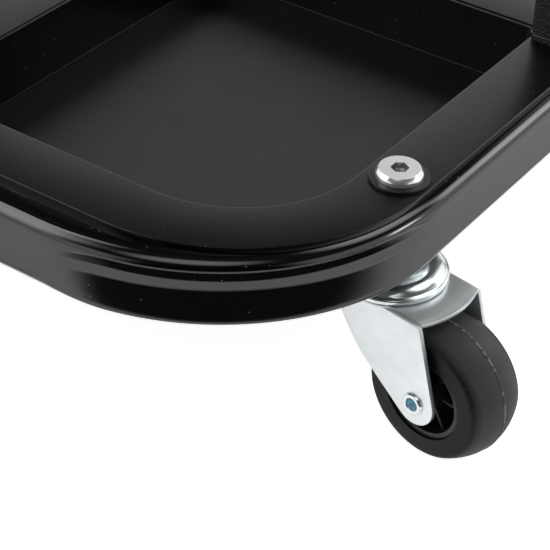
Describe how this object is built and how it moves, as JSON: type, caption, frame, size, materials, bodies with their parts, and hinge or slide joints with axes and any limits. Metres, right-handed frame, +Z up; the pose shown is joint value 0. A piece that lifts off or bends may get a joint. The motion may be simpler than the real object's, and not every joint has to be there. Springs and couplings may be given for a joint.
{
  "type": "creeper seat",
  "caption": "Low rolling workshop seat: padded vinyl seat on an inverted U frame over a compartmented tool tray, carried by a bent tube ring on swivel casters.",
  "frame": {"origin": "on the floor, under the middle of the seat and of the base", "axes": "+Z up, +X along the longer side of the base, -Y towards the front; the pictured corner is front left, at low X and low Y"},
  "size_m": [0.4126, 0.4302, 0.385],
  "materials": {
    "frame_paint": "gloss black enamel",
    "frame_texture": "fine textured black powder coat",
    "tray_plastic": "satin black moulded plastic with a fine grain",
    "black_washer": "black nylon",
    "nickel": "bright nickel with a brushed top",
    "zinc": "bright blue-white zinc plate",
    "ball_steel": "polished steel",
    "tread_rubber": "matt dark grey rubber",
    "hub_plastic": "black moulded plastic",
    "plywood": "birch plywood under thin black paint",
    "foam": "open cell foam",
    "vinyl": "black upholstery vinyl with a leather grain"
  },
  "bodies": {
    "base": {"base_ring": "frame_paint", "tool_tray": "tray_plastic", "stem_washers": "black_washer", "cap_nuts": "nickel", "seat_frame": "frame_texture", "foot_plates": "frame_texture", "foot_bolts": "zinc", "foot_washers": "zinc", "foot_nuts": "zinc", "seat_plate": "frame_texture", "frame_bolts": "zinc", "frame_washers": "zinc", "frame_nuts": "zinc", "seat_board": "plywood", "tee_nuts": "zinc", "board_screws": "zinc", "seat_foam": "foam", "seat_cover": "vinyl", "cover_staples": "zinc", "caster_stem_front_left": "zinc", "race_cap_front_left": "zinc", "caster_stem_front_right": "zinc", "race_cap_front_right": "zinc", "caster_stem_back_right": "zinc", "race_cap_back_right": "zinc", "caster_stem_back_left": "zinc", "race_cap_back_left": "zinc"},
    "swivel_front_left": {"ball_ring_front_left": "ball_steel", "lower_race_front_left": "zinc", "caster_fork_front_left": "zinc", "axle_sleeve_front_left": "zinc", "axle_screw_front_left": "zinc"},
    "wheel_front_left": {"wheel_tread_front_left": "tread_rubber", "wheel_hub_front_left": "hub_plastic"},
    "swivel_front_right": {"ball_ring_front_right": "ball_steel", "lower_race_front_right": "zinc", "caster_fork_front_right": "zinc", "axle_sleeve_front_right": "zinc", "axle_screw_front_right": "zinc"},
    "wheel_front_right": {"wheel_tread_front_right": "tread_rubber", "wheel_hub_front_right": "hub_plastic"},
    "swivel_back_right": {"ball_ring_back_right": "ball_steel", "lower_race_back_right": "zinc", "caster_fork_back_right": "zinc", "axle_sleeve_back_right": "zinc", "axle_screw_back_right": "zinc"},
    "wheel_back_right": {"wheel_tread_back_right": "tread_rubber", "wheel_hub_back_right": "hub_plastic"},
    "swivel_back_left": {"ball_ring_back_left": "ball_steel", "lower_race_back_left": "zinc", "caster_fork_back_left": "zinc", "axle_sleeve_back_left": "zinc", "axle_screw_back_left": "zinc"},
    "wheel_back_left": {"wheel_tread_back_left": "tread_rubber", "wheel_hub_back_left": "hub_plastic"}
  },
  "joints": [
    {"name": "swivel_turn_front_left", "type": "hinge", "parent": "base", "child": "swivel_front_left", "pos_m": [-0.122, -0.165, 0.053], "axis": [0, 0, 1], "continuous": true},
    {"name": "wheel_roll_front_left", "type": "hinge", "parent": "swivel_front_left", "child": "wheel_front_left", "pos_m": [-0.12621, -0.19015, 0.025], "axis": [0.9863, -0.165, 0], "continuous": true},
    {"name": "swivel_turn_front_right", "type": "hinge", "parent": "base", "child": "swivel_front_right", "pos_m": [0.122, -0.165, 0.053], "axis": [0, 0, 1], "continuous": true},
    {"name": "wheel_roll_front_right", "type": "hinge", "parent": "swivel_front_right", "child": "wheel_front_right", "pos_m": [0.12621, -0.19015, 0.025], "axis": [0.9863, 0.165, 0], "continuous": true},
    {"name": "swivel_turn_back_right", "type": "hinge", "parent": "base", "child": "swivel_back_right", "pos_m": [0.122, 0.165, 0.053], "axis": [0, 0, 1], "continuous": true},
    {"name": "wheel_roll_back_right", "type": "hinge", "parent": "swivel_back_right", "child": "wheel_back_right", "pos_m": [0.12621, 0.19015, 0.025], "axis": [-0.9863, 0.165, 0], "continuous": true},
    {"name": "swivel_turn_back_left", "type": "hinge", "parent": "base", "child": "swivel_back_left", "pos_m": [-0.122, 0.165, 0.053], "axis": [0, 0, 1], "continuous": true},
    {"name": "wheel_roll_back_left", "type": "hinge", "parent": "swivel_back_left", "child": "wheel_back_left", "pos_m": [-0.12621, 0.19015, 0.025], "axis": [-0.9863, -0.165, 0], "continuous": true}
  ]
}
